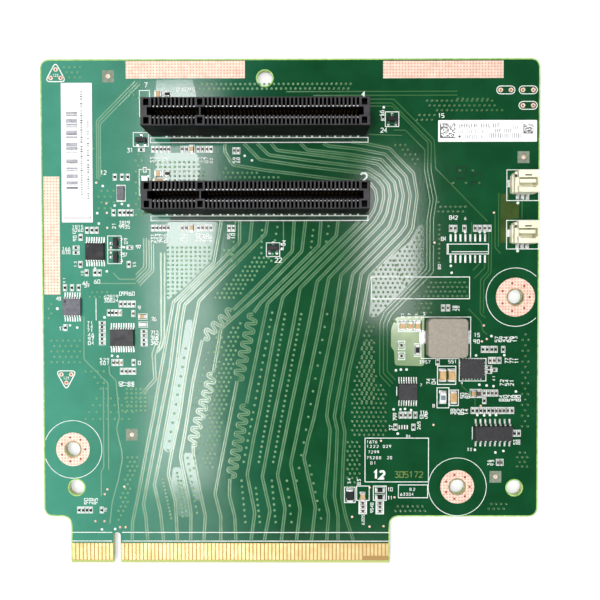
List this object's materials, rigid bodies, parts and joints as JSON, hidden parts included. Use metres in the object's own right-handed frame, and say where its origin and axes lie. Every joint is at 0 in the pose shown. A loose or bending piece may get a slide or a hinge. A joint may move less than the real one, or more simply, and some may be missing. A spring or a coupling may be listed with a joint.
{
  "type": "pcie riser card",
  "caption": "Flat green riser board with a gold card edge below, parallel black card slots above, and a small power supply, side headers and chip parts between.",
  "frame": {"origin": "middle of the key notch on the card's mating edge, on the solder-side face of the board", "axes": "+X along the card edge towards the longer finger group, +Y from the mating edge into the card, +Z out of the component side"},
  "size_m": [0.1303, 0.1325, 0.0138],
  "materials": {
    "solder_mask": "green solder mask",
    "gold_plate": "hard gold plating",
    "black_resin": "moulded, satin",
    "contact_gold": "gold-plated spring",
    "solder": "bright solder",
    "ivory_resin": "moulded, satin",
    "tin_plate": "matt tin",
    "pressed_powder": "pressed iron powder",
    "package_resin": "moulded epoxy",
    "grey_resin": "moulded epoxy, paler",
    "tan_ceramic": "fired ceramic",
    "white_ceramic": "fired ceramic",
    "black_film": "resistive film",
    "paper": "printed paper"
  },
  "bodies": {
    "root": {"bulk_capacitor_bodies": "tan_ceramic", "bulk_capacitor_terminations": "tin_plate", "edge_fingers_back": "gold_plate", "edge_fingers_front": "gold_plate", "flash_package": "grey_resin", "fuse_bodies": "white_ceramic", "fuse_terminations": "tin_plate", "inductor_core": "pressed_powder", "inductor_terminals": "tin_plate", "left_bus_switch_leads": "tin_plate", "left_bus_switch_package": "package_resin", "left_clock_buffer_leads": "tin_plate", "left_clock_buffer_package": "grey_resin", "left_label": "paper", "level_shifter_leads": "tin_plate", "level_shifter_package": "package_resin", "pcb_laminate": "solder_mask", "power_capacitor_bodies": "tan_ceramic", "power_capacitor_terminations": "tin_plate", "power_sequencer_leads": "tin_plate", "power_sequencer_package": "package_resin", "power_stage_package": "package_resin", "right_bus_switch_leads": "tin_plate", "right_bus_switch_package": "package_resin", "right_label": "paper", "shunt_resistor_bodies": "black_film", "shunt_resistor_terminations": "tin_plate", "side_header_1_housing": "ivory_resin", "side_header_1_nails": "tin_plate", "side_header_1_pins": "tin_plate", "side_header_2_housing": "ivory_resin", "side_header_2_nails": "tin_plate", "side_header_2_pins": "tin_plate", "slot_1_contacts_north": "contact_gold", "slot_1_contacts_south": "contact_gold", "slot_1_housing": "black_resin", "slot_1_solder_joints": "solder", "slot_2_contacts_north": "contact_gold", "slot_2_contacts_south": "contact_gold", "slot_2_housing": "black_resin", "slot_2_solder_joints": "solder", "slot_capacitor_bodies": "tan_ceramic", "slot_capacitor_terminations": "tin_plate", "transistor_leads": "tin_plate", "transistor_packages": "package_resin"}
  },
  "joints": []
}
